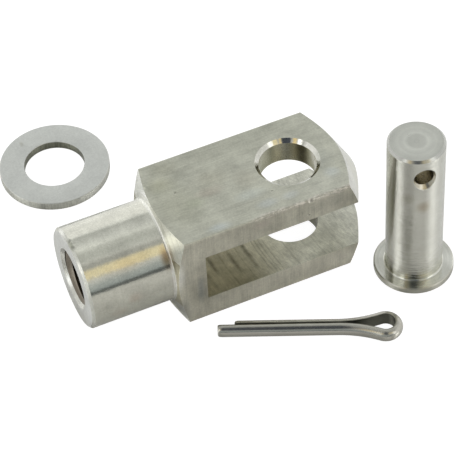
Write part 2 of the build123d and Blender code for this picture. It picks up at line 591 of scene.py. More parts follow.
@dataclass(frozen=True)
class ForkSteel(Steel):
    """The fork's steel: drawn flats, milled sides, turned neck and cones, and a slot with cutter arcs."""

    flats: Zone = Zone((0.53, 0.535, 0.458), 0.36, 0.006, 0.20, Cut.DRAWN)
    sides: Zone = Zone((0.545, 0.53, 0.45), 0.38, 0.007, 0.26, Cut.MILLED_UPRIGHT)
    end: Zone = Zone((0.64, 0.65, 0.62), 0.40, 0.003, 0.05, Cut.TURNED_ALONG)
    # Painted highlight: the foot of the neck is much paler than the turned steel beside it
    highlit_neck_foot: Zone = Zone((0.82, 0.82, 0.76), 0.36, 0.006, 0.22, Cut.TURNED_ALONG)
    # Painted highlight: the rear cone is paler than the front one
    highlit_rear_cone: Zone = Zone((0.96, 0.96, 0.90), 0.34, 0.004, 0.20, Cut.TURNED_ALONG)
    front_cone: Zone = Zone((0.65, 0.65, 0.60), 0.15, 0.006, 0.34, Cut.TURNED_ALONG)
    slot: Zone = Zone((0.515, 0.515, 0.45), 0.36, 0.010, 0.30, Cut.DISC_CUTTER, 2.0)
    neck_edge: Zone = Zone((0.56, 0.565, 0.515), 0.42, 0.004, 0.20, Cut.TURNED_ALONG)
    mouth: Zone = Zone((0.60, 0.60, 0.55), 0.28, 0.004, 0.20, Cut.TURNED_ALONG)
    bore: Zone = Zone((0.60, 0.59, 0.50), 0.24, 0.004, 0.10, Cut.TURNED_UPRIGHT)
    chamfers: Zone = Zone((0.69, 0.685, 0.63), 0.09, 0.002, 0.10, Cut.TURNED_UPRIGHT)
    # Painted shade: the bore's wall behind the thread
    shaded_thread_wall: Zone = Zone((0.20, 0.185, 0.15), 0.50, 0.003, 0.10, Cut.TURNED_ALONG)
    scores: tuple[Score, ...] = (
        Score(-18.3, 0.30, 0.20),
        Score(-16.55, 0.30, 0.46, -5.6, -1.6),
        Score(-14.6, 0.16, 0.20),
        Score(-12.85, 0.34, 0.50, -6.8, -2.0),
        Score(-11.4, 0.12, 0.20),
        Score(-9.95, 0.32, 0.50, -7.4, -1.0),
        Score(-8.2, 0.11, 0.25, -9.0, 0.0),
        Score(-7.6, 0.10, 0.25, -9.8, -0.6),
        Score(-7.0, 0.10, 0.25, -9.8, -1.6),
        Score(-6.3, 0.11, 0.25, -9.8, -2.0),
        Score(-3.4, 0.16, 0.20),
        Score(1.6, 0.14, 0.20),
        Score(4.9, 0.20, 0.20),
    )

    # Limits of the worked surfaces: places along the fork and distances from its long axis or its bore
    bar_from_x: float = -25.3
    outside_from: float = 9.6
    flat_from: float = 9.2
    end_to_x: float = -40.3
    edge_to_x: float = -39.9
    neck_edge_from: float = 8.4
    mouth_to: float = 6.0
    thread_to_x: float = -20.3
    thread_wall_to: float = 5.1
    neck_foot_x: tuple[float, float] = (-25.75, -24.5)
    neck_foot_from_axis: tuple[float, float] = (9.0, 10.2)
    slot_to_z: float = 5.3
    slot_to_y: float = 9.9
    bore_to: float = 5.2
    chamfers_to: float = 5.75

    # How a surface faces: the part of its normal along the fork, across it or upwards
    walls_to: float = 0.2
    turned_edges: tuple[float, float] = (0.5, 0.9)
    cones_from: float = 0.5
    end_from: float = 0.97
    flats_level: float = 0.6
    sides_aside: float = 0.72
    outside_aside: float = 0.7
    chamfers_level: tuple[float, float] = (0.3, 0.9)

    # The slot, which pales from its end to its front and is darker along its scores, both painted shade,
    # with crossed scratches near the front
    pale_from: tuple[float, float] = (-7.5, 8.0)
    slot_end_shade: float = 0.91
    slot_front_shade: float = 1.16
    slot_brown: Colour = (1.02, 0.97, 0.84)
    score_bend: float = 0.10
    score_bend_kind: Texture = Texture(0.9)
    score_gap_kind: Texture = Texture(1.0)
    score_gap_along: float = 0.35
    score_shade_gaps: float = 0.5
    score_shade: float = 0.9
    score_end_soft: float = 0.8
    hatch_from: tuple[float, float] = (-12.0, 4.0)
    hatch_slant: float = 0.55
    hatch_along: float = 0.08
    hatch_offset: float = 5.0
    hatch_kind: Texture = Texture(5.0)
    hatch_strength: float = 0.28
    slot_patch_kind: Texture = Texture(0.45, 3.0, 0.6)
    slot_patch: float = 0.36

    # The near upper edge, deburred by hand, with bright specks that are partly painted glints
    burr_glint: Colour = (0.80, 0.75, 0.68)
    burr_dark: Colour = (0.38, 0.36, 0.31)
    burr_kind: Texture = Texture(2.6, 3.0, 0.7)
    burr_strip_kind: Texture = Texture(0.7)
    burr_strip: tuple[float, float] = (0.55, 0.30)
    burr_strip_change: float = 0.5
    burr_along: float = 0.5
    burr_share: tuple[float, float] = (0.02, 0.25)
    burr_strength: float = 0.65
    burr_x: tuple[float, float] = (-11.0, 8.0)

    # The brown that the heat of turning left at the foot of the neck
    temper: Colour = (0.30, 0.20, 0.09)
    temper_centre: Point = (-26.0, -7.2, 5.3)
    temper_reach: Point = (1.4, 2.7, 2.7)
    temper_edge: tuple[float, float] = (0.6, 0.5)
    temper_to: float = 9.25
    temper_strength: float = 0.85

    def zones(self, place: Place) -> list[tuple[Signal, Zone]]:
        """Finds each worked surface by where it is and how it faces.

        Args:
            place: the shaded point.

        Returns:
            A mask for each zone, in the order in which they cover each other.
        """
        steep, aside, level = abs(place.nx), abs(place.ny), abs(place.nz)
        from_axis = place.from_long_axis
        wall = steep.below(self.walls_to, FACING)
        plain = wall * place.x.above(self.bar_from_x, CRISP)
        outside = from_axis.above(self.outside_from, CRISP)
        upper = abs(place.z).above(self.flat_from, CRISP) * level.above(self.flats_level, FACING)
        beside = abs(place.y).above(self.flat_from, CRISP) * aside.above(self.sides_aside, FACING)
        end = steep.above(self.end_from, 0.01) * place.x.below(self.end_to_x, CRISP)
        turned_edge = steep.within(*self.turned_edges, FACING) * place.x.below(self.edge_to_x, CRISP)
        cones = steep.above(self.cones_from, FACING) * outside
        shaded_inner_wall = wall * place.x.below(self.thread_to_x, 0.05)
        foot = place.x.within(*self.neck_foot_x, 0.08) * from_axis.within(*self.neck_foot_from_axis, 0.15)
        slot = self._in_slot(place) * (1.0 - outside * aside.above(self.outside_aside, FACING))
        hole = place.from_upright_axis.below(self.bore_to, CRISP) * level.below(self.walls_to, FACING)
        rims = place.from_upright_axis.below(self.chamfers_to, CRISP)
        return [
            (end, self.end),
            (turned_edge * from_axis.above(self.neck_edge_from, 0.05), self.neck_edge),
            (turned_edge * from_axis.below(self.mouth_to, 0.05), self.mouth),
            (shaded_inner_wall * from_axis.below(self.thread_wall_to, 0.03), self.shaded_thread_wall),
            (cones * place.x.below(0.0, 0.1), self.highlit_rear_cone),
            (cones * place.x.above(0.0, 0.1), self.front_cone),
            (foot, self.highlit_neck_foot),
            (slot, self.slot),
            (plain * upper, self.flats),
            (plain * beside, self.sides),
            (hole, self.bore),
            (rims * level.within(*self.chamfers_level, FACING), self.chamfers),
        ]

    def extra_tint(self, place: Place, colour: Signal) -> Signal:
        """Cutter scores and painted shade in the slot, burrs with painted glints along the near upper edge,
        and a temper tint at the neck.
        """
        return self._temper(place, self._burrs_and_glints(place, self._scored_with_painted_shade(place, colour)))

    def _in_slot(self, place: Place) -> Signal:
        """Where the slot's own surfaces are."""
        inside = abs(place.z).below(self.slot_to_z, CRISP) * place.x.above(self.bar_from_x, CRISP)
        return inside * abs(place.y).below(self.slot_to_y, CRISP)

    def _scored_with_painted_shade(self, place: Place, colour: Signal) -> Signal:
        """Paints shade into the slot, darker towards its end and along each score.

        Args:
            place: the shaded point.
            colour: the steel's colour so far.

        Returns:
            The colour with the slot's marks and painted shade.
        """
        graph = place.graph
        across, along = place.grain(Cut.DISC_CUTTER)
        across = across + graph.noise(place.spot, self.score_bend_kind) * self.score_bend
        # Painted shade, deeper towards the slot's end and along each score
        front = place.x.above(*self.pale_from)
        level: Term = graph.blend(front, self.slot_end_shade, self.slot_front_shade)
        for score in self.scores:
            away = abs(across - score.place)
            spot = graph.vector(along * self.score_gap_along, score.place, 0.0)
            depth = graph.noise(spot, self.score_gap_kind) * self.score_shade_gaps + self.score_shade
            reach = place.y.within(score.low_y, score.high_y, self.score_end_soft) * score.strength
            level = level * (1.0 - away.below(score.half_width, score.half_width) * depth * reach)
        over = place.x + place.y * self.hatch_slant
        down = (place.y - place.x * self.hatch_slant) * self.hatch_along
        crossing = graph.vector(over, down, self.hatch_offset)
        hatch = graph.noise(crossing, self.hatch_kind) * place.x.above(*self.hatch_from)
        patch = graph.noise(place.spot, self.slot_patch_kind)
        level = level * (1.0 + hatch * self.hatch_strength + patch * self.slot_patch)
        worked = graph.shade(graph.tint(front, self.slot_brown, WHITE), level)
        return graph.multiply(self._in_slot(place), colour, worked)

    def _burrs_and_glints(self, place: Place, colour: Signal) -> Signal:
        """Scatters bright and dark specks where the near upper edge was deburred by hand; the bright ones
        are partly painted glints.

        Args:
            place: the shaded point.
            colour: the steel's colour so far.

        Returns:
            The colour with the specks.
        """
        graph = place.graph
        away = (place.y + HALF_BAR).hypotenuse(place.z - HALF_BAR)
        ragged = graph.noise(graph.vector(place.x * self.burr_along, place.y, place.z), self.burr_kind)
        wide = graph.noise(place.spot, self.burr_strip_kind) * self.burr_strip_change
        strip = (away + wide).below(*self.burr_strip) * place.x.within(*self.burr_x, 1.0)
        # Bright specks: partly real bared metal, partly painted glints
        specks = graph.tint(ragged.above(*self.burr_share), self.burr_dark, self.burr_glint)
        return graph.tint(strip * self.burr_strength, colour, specks)

    def _temper(self, place: Place, colour: Signal) -> Signal:
        """Browns the foot of the neck.

        Args:
            place: the shaded point.
            colour: the steel's colour so far.

        Returns:
            The colour with the brown.
        """
        away = place.away_from(self.temper_centre, self.temper_reach)
        near_neck = place.from_long_axis.below(self.temper_to, 0.1)
        share = away.below(*self.temper_edge) * near_neck * self.temper_strength
        return place.graph.tint(share, colour, self.temper)


@dataclass(frozen=True)
class ThreadSteel(Steel):
    """The thread's steel: bare on its crests, and darker towards its roots with painted shade."""

    # Painted shade in the thread's roots
    root_shade: Zone = Zone((0.17, 0.15, 0.12), 0.34, 0.003, 0.20, Cut.TURNED_ALONG)
    root_shade_from: float = 4.5
    root_shade_soft: float = 0.25

    def zones(self, place: Place) -> list[tuple[Signal, Zone]]:
        """Everything below the crests, darkened with painted shade."""
        return [(place.from_long_axis.above(self.root_shade_from, self.root_shade_soft), self.root_shade)]


@dataclass(frozen=True)
class PinSteel(Steel):
    """The clevis pin's steel: a finely turned shank, a faced end and head, and a drilled cross hole."""

    faced: Zone = Zone((0.575, 0.585, 0.54), 0.32, 0.004, 0.12, Cut.TURNED_UPRIGHT)
    head: Zone = Zone((0.70, 0.70, 0.64), 0.10, 0.004, 0.20, Cut.TURNED_UPRIGHT)
    head_rim: Zone = Zone((0.46, 0.455, 0.40), 0.35, 0.004, 0.14, Cut.TURNED_UPRIGHT)
    end_rim: Zone = Zone((0.50, 0.505, 0.475), 0.24, 0.004, 0.14, Cut.TURNED_UPRIGHT)
    hole: Zone = Zone((0.50, 0.47, 0.385), 0.25, 0.003, 0.08, Cut.ROLLED)

    # Limits of the worked surfaces: distances from the axis, heights, and the upright part of a normal
    head_rim_from: float = 6.75
    skin_from: float = 4.9
    hole_z: tuple[float, float] = (-8.0, 20.3)
    end_from_z: float = 20.0
    end_rim_from_z: float = 20.3
    rings_from_z: float = 20.7
    slopes: tuple[float, float] = (0.5, 0.9)
    slope_soft: float = 0.03

    # Rings on the end: each one's radius, half width and change of shade
    end_rings: tuple[tuple[float, float, float], ...] = (
        (0.35, 0.30, -0.05),
        (1.05, 0.30, -0.03),
        (2.05, 0.45, 0.11),
        (3.10, 0.35, 0.08),
        (4.20, 0.25, -0.03),
    )

    def zones(self, place: Place) -> list[tuple[Signal, Zone]]:
        """Finds the head and its rim, the end of the shank and its rim, and the cross hole inside it.

        Args:
            place: the shaded point.

        Returns:
            A mask for each zone, in the order in which they cover each other.
        """
        upright = abs(place.nz)
        level = upright.above(self.slopes[1], self.slope_soft)
        sloping = upright.within(*self.slopes, self.slope_soft)
        inside = place.from_upright_axis.below(self.skin_from, 0.03) * place.z.within(*self.hole_z, CRISP)
        return [
            (level * place.z.below(0.0, 0.1), self.head),
            (place.from_upright_axis.above(self.head_rim_from, CRISP) * (1.0 - level), self.head_rim),
            (level * place.z.above(self.end_from_z, 0.1), self.faced),
            (sloping * place.z.above(self.end_rim_from_z, 0.05), self.end_rim),
            (inside, self.hole),
        ]

    def extra_tint(self, place: Place, colour: Signal) -> Signal:
        """Adds faint rings on the end of the shank, left by the facing tool.

        Args:
            place: the shaded point.
            colour: the steel's colour so far.

        Returns:
            The colour with the rings.
        """
        graph = place.graph
        level: Term = 1.0
        for radius, half_width, change in self.end_rings:
            away = abs(place.from_upright_axis - radius)
            level = away.below(half_width, half_width * 0.9) * change + level
        return graph.tint(place.z.above(self.rings_from_z, 0.05), colour, graph.shade(colour, level))


@dataclass(frozen=True)
class WasherSteel(Steel):
    """The washer's zinc: matt faces, and walls that the punch sheared, the inner one darker with painted
    shade.
    """

    outer_wall: Zone = Zone((0.55, 0.555, 0.505), 0.45, 0.010, 0.50, Cut.MILLED_UPRIGHT)
    # Painted shade inside the hole
    shaded_inner_wall: Zone = Zone((0.22, 0.225, 0.18), 0.45, 0.010, 0.70, Cut.MILLED_UPRIGHT)
    walls_level: float = 0.55
    walls_soft: float = 0.2
    inner_wall_to: float = 6.5

    def zones(self, place: Place) -> list[tuple[Signal, Zone]]:
        """Finds the outer and the inner wall.

        Args:
            place: the shaded point.

        Returns:
            A mask for each of them.
        """
        upright = abs(place.nz).below(self.walls_level, self.walls_soft)
        inner = upright * place.from_upright_axis.below(self.inner_wall_to, 0.1)
        return [(upright, self.outer_wall), (inner, self.shaded_inner_wall)]


@dataclass(frozen=True)
class WireSteel(Steel):
    """The split pin's wire, drawn smooth outside and left coarse on its flat."""

    flat: Zone = Zone((0.24, 0.24, 0.20), 0.40, 0.012, 0.30, Cut.ROLLED)
    eye: Zone = Zone((0.49, 0.48, 0.43), 0.25, 0.002, 0.08, Cut.ROLLED)
    flat_mark: str = "flat_side"
    eye_to: float = 3.6
    eye_soft: float = 0.8

    def zones(self, place: Place) -> list[tuple[Signal, Zone]]:
        """The eye, and the flat of the wire, which its own mesh marks."""
        flat = place.graph.make("ShaderNodeAttribute", {"attribute_name": self.flat_mark}, out="Fac")
        return [(place.from_upright_axis.below(self.eye_to, self.eye_soft), self.eye), (flat, self.flat)]


class Recipe:
    """A geometry tree with named sizes, which turns them into one plain mesh."""

    def __init__(self, name: str) -> None:
        """Starts an empty tree whose first input is the carrier's own mesh.

        Args:
            name: the tree's name.
        """
        self.name = name
        tree = bpy.data.node_groups.new(name, "GeometryNodeTree")
        tree.interface.new_socket("Geometry", in_out="INPUT", socket_type="NodeSocketGeometry")
        tree.interface.new_socket("Geometry", in_out="OUTPUT", socket_type="NodeSocketGeometry")
        self.graph = Graph(tree)
        self.source = self.graph.make("NodeGroupInput")
        self.values: dict[str, Any] = {}

    def size(self, name: str, value: float) -> Signal:
        """Adds a named size."""
        return self._input(name, value, "NodeSocketFloat")

    def count(self, name: str, value: int) -> Signal:
        """Adds a named whole number."""
        return self._input(name, value, "NodeSocketInt")

    def _input(self, name: str, value: Any, kind: str) -> Signal:
        """Adds a named input and keeps the value that the modifier gives it.

        Args:
            name: the input's name.
            value: its value, or None for the finish.
            kind: its socket type.

        Returns:
            The input's signal.
        """
        socket = self.graph.tree.interface.new_socket(name, in_out="INPUT", socket_type=kind)
        self.values[socket.identifier] = value
        return Signal(self.graph, self.source.socket.node.outputs[name])

    def close(self, geometry: Signal, sharp: float = 0.6) -> None:
        """Ends the tree.

        Args:
            geometry: what has been built.
            sharp: the angle between faces, in radians, above which their edge stays sharp.
        """
        graph = self.graph
        finish = self._input("Finish", None, "NodeSocketMaterial")
        smooth = graph.make("GeometryNodeSetShadeSmooth", {"domain": "FACE"}, {"Geometry": geometry})
        angle = graph.make("GeometryNodeInputMeshEdgeAngle")
        crisp = graph.make(
            "GeometryNodeSetShadeSmooth",
            {"domain": "EDGE"},
            {"Geometry": smooth, "Selection": angle.above(sharp, 0.001), "Shade Smooth": False},
        )
        real = graph.make("GeometryNodeRealizeInstances", None, {"Geometry": crisp})
        dressed = graph.make("GeometryNodeSetMaterial", None, {"Geometry": real, "Material": finish})
        graph.make("NodeGroupOutput", None, {0: dressed})

    def piece(
        self, name: str, finish: bpy.types.Material, carrier: Optional[bpy.types.Mesh] = None
    ) -> bpy.types.Object:
        """Runs the tree once.

        Args:
            name: the new piece's name.
            finish: the material that the tree sets.
            carrier: a mesh that the tree starts from, where it needs one.

        Returns:
            A plain mesh object at the origin, with no modifier.
        """
        start = carrier or bpy.data.meshes.new(f"{name}_start")
        holder = new_object(f"{name}_holder", start)
        modifier = holder.modifiers.new(self.name, "NODES")
        modifier.node_group = self.graph.tree
        for identifier, value in self.values.items():
            modifier[identifier] = finish if value is None else value
        graph = bpy.context.evaluated_depsgraph_get()
        mesh = bpy.data.meshes.new_from_object(holder.evaluated_get(graph), depsgraph=graph)
        bpy.data.objects.remove(holder)
        mesh.name = name
        return new_object(name, mesh)


def dress(node: str, finish: bpy.types.Material) -> bpy.types.Object:
    """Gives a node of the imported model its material.

    Args:
        node: the node's name.
        finish: the material.

    Returns:
        The node's object.
    """
    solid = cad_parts[node]
    solid.data.materials.clear()
    solid.data.materials.append(finish)
    return solid


@dataclass
class Fork:
    """The fork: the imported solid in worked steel, and the thread in its neck."""

    thread_major_radius: float = 5.02 * MM
    thread_minor_radius: float = 4.19 * MM
    thread_pitch: float = 1.5 * MM
    thread_root_width: float = 1.30 * MM
    thread_crest_width: float = 0.30 * MM
    mouth_x: float = -40.6 * MM
    mouth_radius: float = 5.57 * MM
    slot_end_x: float = -20.84 * MM
    thread_lead: float = 3.75
    steps_per_turn: int = 72
    section_points: int = 5
    weld_distance: float = 1e-7
    finish: Steel = ForkSteel(
        name="worked_bar_steel",
        base=Zone((0.66, 0.66, 0.585), 0.13, 0.002, 0.07, Cut.TURNED_ALONG),
        mottle=0.32,
        speckle=0.20,
        speck_height=0.002,
        wrinkle=0.012,
        stains_and_painted_light=(
            on_top((-16.6, -8.7), (2.6, 1.1), (0.50, 0.545, 0.55), 0.6),
            on_top((-7.1, -7.35), (2.4, 1.2), (0.56, 0.60, 0.60), 0.5),
            on_top((-3.0, -7.3), (2.0, 1.1), (0.60, 0.63, 0.62), 0.5),
            on_top((5.7, -5.7), (1.8, 1.6), (0.58, 0.63, 0.64), 0.5),
            on_top((6.4, -7.4), (1.6, 1.2), (0.42, 0.42, 0.36), 0.6),
            on_top((-21.8, 4.6), (3.0, 2.6), (0.44, 0.44, 0.33), 0.7),
            on_top((-21.0, -1.0), (5.5, 7.0), (0.455, 0.46, 0.375), 0.75),
            on_side((-21.2, -2.3), (0.9, 4.2), (0.36, 0.38, 0.37), 0.6),
            on_side((-18.4, 3.2), (1.6, 3.0), (0.42, 0.42, 0.36), 0.5),
            on_side((-9.5, 8.2), (2.2, 1.2), (0.52, 0.47, 0.42), 0.5),
            on_side((4.6, 7.7), (6.0, 2.6), (0.40, 0.39, 0.335), 0.65),
            StainOrPaintedLight((-32.8, -9.1, 0.5), (1.6, 1.0, 1.4), (0.62, 0.54, 0.46), 0.5),
            StainOrPaintedLight((-35.7, -8.9, -1.9), (2.0, 1.0, 1.6), (0.62, 0.56, 0.48), 0.5),
            StainOrPaintedLight((-33.0, -6.5, 6.3), (4.5, 1.6, 1.6), (0.66, 0.57, 0.42), 0.35),
            # Painted shade: darkens the lower half of the neck's end face
            StainOrPaintedLight((-40.6, -2.0, -9.0), (1.5, 10.0, 7.5), (0.50, 0.50, 0.46), 0.9),
            # Painted highlights on the edge round the neck's end and on the mouth's countersink
            StainOrPaintedLight((-40.4, -4.7, 7.5), (0.4, 1.7, 1.5), (0.90, 0.89, 0.82), 0.9),
            StainOrPaintedLight((-40.3, 3.3, -4.1), (0.45, 1.5, 1.2), (0.95, 0.95, 0.91), 0.9),
            StainOrPaintedLight((-40.4, 3.8, 8.0), (0.4, 2.9, 1.4), (0.85, 0.85, 0.80), 0.9),
            StainOrPaintedLight((-40.3, -0.6, 8.9), (0.45, 1.7, 0.8), (0.34, 0.35, 0.28), 0.8),
            on_side((5.5, -8.0), (6.0, 2.6), (0.62, 0.60, 0.52), 0.6),
            # Painted highlight on the near side of the rear cone, by the neck's foot
            StainOrPaintedLight((-25.0, -9.8, 2.6), (1.4, 1.6, 4.6), (0.92, 0.92, 0.87), 0.6),
            # Painted shade on the rear cone's underside, near the floor
            StainOrPaintedLight((-24.8, -8.5, -6.7), (2.0, 4.2, 4.4), (0.33, 0.33, 0.30), 0.85),
            # Painted shade on the far wall of the bore in the lower arm
            StainOrPaintedLight((5.0, 0.6, -7.6), (1.3, 2.4, 3.2), (0.24, 0.24, 0.18), 0.7),
            on_top((-8.0, 8.4), (22.0, 6.0), (0.46, 0.465, 0.395), 0.75),
            on_top((4.2, -7.6), (6.0, 3.0), (0.60, 0.605, 0.53), 0.5),
            on_top((-13.5, 1.9), (4.0, 2.8), (0.455, 0.45, 0.375), 0.8),
            on_top((-14.9, -0.6), (3.4, 1.4), (0.485, 0.46, 0.39), 0.8),
            on_top((-8.0, -0.4), (3.0, 2.4), (0.49, 0.48, 0.405), 0.7),
            on_top((-9.0, -4.2), (3.6, 1.5), (0.60, 0.625, 0.565), 0.8),
            on_top((-18.0, -1.9), (2.2, 1.5), (0.455, 0.475, 0.375), 0.7),
            on_top((-20.0, 7.7), (3.4, 2.6), (0.42, 0.42, 0.345), 0.8),
            on_top((4.8, -1.8), (3.2, 3.2), (0.46, 0.47, 0.415), 0.75),
        ),
        nicks=(
            Nick((-20.24, 1.76, HALF_BAR), 0.45, 0.05),
            Nick((-5.32, -5.14, HALF_BAR), 0.35, 0.04),
            Nick((-0.32, -HALF_BAR, 9.7), 0.55, 0.10),
            Nick((-0.74, -HALF_BAR, 6.42), 0.30, 0.05),
            Nick((-24.6, 4.96, HALF_BAR), 0.50, -0.06),
            Nick((-40.2, 0.3, 8.95), 0.55, 0.03),
            Nick((-40.1, -1.2, 8.9), 0.70, 0.03),
        ),
    )
    # Painted shade: the thread, deep in the bore, is darker than the fork's own steel
    thread_finish: Steel = ThreadSteel(
        name="cut_thread_steel",
        base=Zone((0.30, 0.27, 0.225), 0.30, 0.003, 0.10, Cut.TURNED_ALONG),
    )

    def build(self) -> list[bpy.types.Object]:
        """Dresses the solid and cuts the thread.

        Returns:
            The solid and the thread.
        """
        solid = dress("fork", self.finish.material())
        thread = self.thread()
        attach(thread, BODY)
        return [solid, thread]

    def thread(self) -> bpy.types.Object:
        """Makes the ridge of the thread, as a helix that the countersink and the slot cut short.

        Its section runs over five points of a grid: the root, both sides of the crest, the root
        again, and the first point once more.

        Returns:
            The ridge.
        """
        recipe = Recipe("thread_ridge")
        graph = recipe.graph
        major = recipe.size("Major radius", self.thread_major_radius)
        minor = recipe.size("Minor radius", self.thread_minor_radius)
        pitch = recipe.size("Pitch", self.thread_pitch)
        root = recipe.size("Root width", self.thread_root_width)
        crest = recipe.size("Crest width", self.thread_crest_width)
        start = recipe.size("Mouth", self.mouth_x)
        mouth = recipe.size("Mouth radius", self.mouth_radius)
        stop = recipe.size("Slot end", self.slot_end_x)
        turns = recipe.size("Turns", (self.slot_end_x - self.mouth_x) / self.thread_pitch + 1.0)
        lead = recipe.size("Lead angle", self.thread_lead)
        steps = recipe.count("Steps per turn", self.steps_per_turn)
        sides = self.section_points - 1
        size = {"Size X": 1.0, "Size Y": float(sides)}
        count = {"Vertices X": turns * steps, "Vertices Y": self.section_points}
        grid = graph.make("GeometryNodeMeshGrid", None, {**size, **count})
        u, v, _ = graph.split(graph.make("GeometryNodeInputPosition"))
        angle = (u + 0.5) * turns * (2 * pi)
        rows = (row - sides / 2 for row in range(self.section_points))
        first, low, high, last, again = (v.near(row, 0.1) for row in rows)
        aside = root * (last - first - again) / 2 + crest * (high - low) / 2
        free_x = start + aside + pitch * angle / (2 * pi) - pitch * 0.5
        x = free_x.most(start).least(stop)
        cone = mouth - (x - start)
        radius = graph.blend(low + high, major, minor).most(cone)
        turned = angle + lead
        spot = graph.vector(x, radius * turned.cosine(), radius * turned.sine())
        wound = graph.make("GeometryNodeSetPosition", None, {"Geometry": grid, "Position": spot})
        weld = {"Geometry": wound, "Distance": self.weld_distance}
        recipe.close(graph.make("GeometryNodeMergeByDistance", None, weld))
        return recipe.piece("fork_thread", self.thread_finish.material())


@dataclass
class ClevisPin:
    """The clevis pin, standing on its head."""

    finish: Steel = PinSteel(
        name="turned_pin_steel",
        base=Zone((0.66, 0.66, 0.60), 0.13, 0.028, 0.04, Cut.TURNED_UPRIGHT),
        marks_per_mm=7.0,
        mottle=0.14,
        speckle=0.06,
        speck_height=0.0,
        wrinkle=0.004,
        axis=(16.86, -14.9, 0.0),
        stains_and_painted_light=(
            StainOrPaintedLight((15.9, -19.7, 9.9), (1.5, 1.6, 1.7), (0.42, 0.36, 0.27), 0.7),
            StainOrPaintedLight((13.6, -18.6, 11.8), (1.3, 1.3, 1.5), (0.52, 0.50, 0.42), 0.6),
            # Painted reflection of the shank on the head's top: a pale patch, a dimmer one and a dark one
            # in front of the shank
            StainOrPaintedLight((22.6, -17.8, -8.65), (1.6, 3.0, 0.3), (0.92, 0.92, 0.86), 0.8),
            StainOrPaintedLight((11.2, -13.6, -8.65), (1.6, 3.0, 0.3), (0.58, 0.58, 0.52), 0.7),
            StainOrPaintedLight((14.1, -19.8, -8.65), (2.6, 1.9, 0.3), (0.18, 0.18, 0.155), 0.85),
        ),
    )

    def build(self) -> list[bpy.types.Object]:
        """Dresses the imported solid, which needs no other mesh."""
        return [dress("clevis_pin", self.finish.material())]


@dataclass
class Washer:
    """The washer, punched from sheet, with its upper edges drawn down."""

    centre: Point = (-31.26 * MM, 34.625 * MM, -9.15 * MM)
    bore_radius: float = 5.5 * MM
    outer_radius: float = 10.073 * MM
    thickness: float = 1.598 * MM
    upper_edge: float = 0.20 * MM
    lower_edge: float = 0.07 * MM
    steps_round: int = 160
    steps_per_edge: int = 5
    sharp_angle: float = 0.9
    finish: Steel = WasherSteel(
        name="matt_zinc",
        base=Zone((0.635, 0.65, 0.625), 0.50, 0.001, 0.03, Cut.ROLLED),
        mottle=0.18,
        speckle=0.12,
        speck_height=0.004,
        axis=(-31.26, 34.625, 0.0),
        stains_and_painted_light=(StainOrPaintedLight((-34.9, 42.0, -8.35), (0.5, 0.9, 0.5), (0.48, 0.48, 0.43), 0.6),),
    )

    def build(self) -> list[bpy.types.Object]:
        """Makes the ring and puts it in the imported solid's place.

        Returns:
            The pieces made here.
        """
        ring = self.ring()
        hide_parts("washer")
        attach(ring, BODY)
        return [ring]

    def ring(self) -> bpy.types.Object:
        """Carries a rounded section round a circle.

        Returns:
            The ring.
        """
        recipe = Recipe("punched_ring")
        graph = recipe.graph
        bore = recipe.size("Bore radius", self.bore_radius)
        outer = recipe.size("Outer radius", self.outer_radius)
        thick = recipe.size("Thickness", self.thickness)
        upper = recipe.size("Upper edge", self.upper_edge)
        lower = recipe.size("Lower edge", self.lower_edge)
        round_steps = recipe.count("Steps round", self.steps_round)
        edge_steps = recipe.count("Steps per edge", self.steps_per_edge)
        size = {"Width": outer - bore, "Height": thick}
        section = graph.make("GeometryNodeCurvePrimitiveQuadrilateral", None, size)
        corner = graph.make("GeometryNodeInputIndex")
        radius = graph.blend(corner.above(1.5, 0.1), lower, upper)
        rounding = {"Curve": section, "Count": edge_steps, "Radius": radius}
        rounded = graph.make("GeometryNodeFilletCurve", {"mode": "POLY"}, rounding)
        middle = {"Resolution": round_steps, "Radius": (bore + outer) / 2}
        circle = graph.make("GeometryNodeCurvePrimitiveCircle", None, middle)
        swept = graph.make("GeometryNodeCurveToMesh", None, {"Curve": circle, "Profile Curve": rounded})
        placed = graph.make("GeometryNodeTransform", None, {"Geometry": swept, "Translation": self.centre})
        recipe.close(placed, self.sharp_angle)
        return recipe.piece("washer_ring", self.finish.material())


